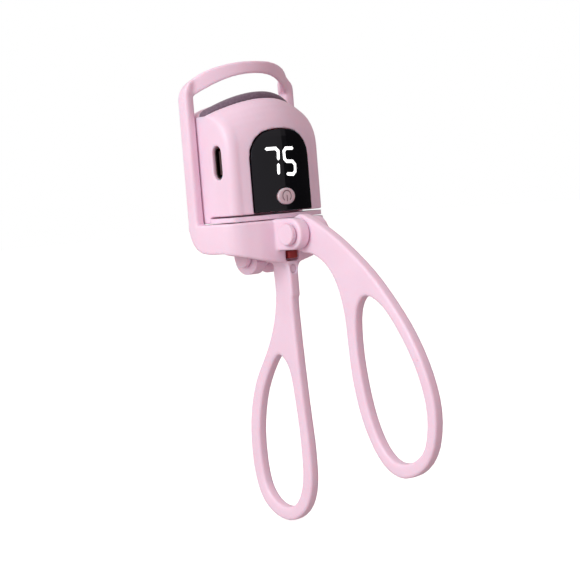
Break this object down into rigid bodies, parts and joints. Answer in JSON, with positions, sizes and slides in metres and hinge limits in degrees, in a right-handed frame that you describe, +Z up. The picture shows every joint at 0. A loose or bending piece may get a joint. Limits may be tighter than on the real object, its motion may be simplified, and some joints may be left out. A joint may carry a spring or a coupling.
{
  "type": "eyelash curler",
  "caption": "Heated clamp-type eyelash curler: arched fixed jaw, heated head that slides up to it, finger lever, display and button.",
  "frame": {"origin": "middle of the rear finger loop, in the mid-plane of the handles", "axes": "+X along the jaw, to the right when facing the display; -Y out of the display side, where the lever swings; +Z up from the finger loops to the jaw"},
  "size_m": [0.0406, 0.0768, 0.1325],
  "materials": {
    "pink_plastic": "satin moulded plastic",
    "rose_plastic": "fine matt moulded plastic",
    "black_gloss": "polished",
    "dark_silicone": "matt silicone",
    "red_silicone": "matt silicone",
    "steel": "plated",
    "aluminium": "rolled strip",
    "heater_film": "polyimide film",
    "carrier_white": "unglazed",
    "board_green": "solder mask",
    "module_black": "moulded",
    "cell_foil": "laminate pouch",
    "bead_glass": "epoxy bead",
    "wire_red": "silicone insulation"
  },
  "bodies": {
    "frame": {"main_frame": "pink_plastic", "deck_plate": "pink_plastic", "deck_screw_1": "steel", "deck_screw_2": "steel", "lever_stop_pad": "red_silicone", "stem_plug": "rose_plastic", "front_pin": "pink_plastic", "front_pin_cap": "pink_plastic"},
    "lever": {"front_handle": "pink_plastic"},
    "head": {"front_shell": "pink_plastic", "rear_cover": "pink_plastic", "cover_screw_1": "steel", "cover_screw_2": "steel", "cover_screw_3": "steel", "cover_screw_4": "steel", "display_window": "black_gloss", "control_board": "board_green", "display_module": "module_black", "power_switch": "module_black", "battery": "cell_foil", "usb_socket": "steel", "lash_pad": "dark_silicone", "heating_plate": "aluminium", "heating_film": "heater_film", "heater_carrier": "carrier_white", "thermistor": "bead_glass", "heater_lead_1": "wire_red", "heater_lead_2": "wire_red", "link_bracket": "pink_plastic", "bracket_screw_1": "steel", "bracket_screw_2": "steel", "rear_pin": "pink_plastic", "rear_pin_cap": "pink_plastic"},
    "button": {"power_button": "rose_plastic"}
  },
  "joints": [
    {"name": "lever_pivot", "type": "hinge", "parent": "frame", "child": "lever", "pos_m": [0, -0.0171, 0.0578], "axis": [1, 0, 0], "range_deg": [0, 14]},
    {"name": "head_slide", "type": "slide", "parent": "frame", "child": "head", "axis": [0, 0, 1], "range_m": [0, 0.005]},
    {"name": "button_press", "type": "slide", "parent": "head", "child": "button", "axis": [0, 1, 0], "range_m": [0, 0.0004], "stiffness_N_per_m": 800}
  ],
  "couplings": [
    {"joint": "head_slide", "follows": "lever_pivot", "m_per_rad": 0.0204}
  ]
}
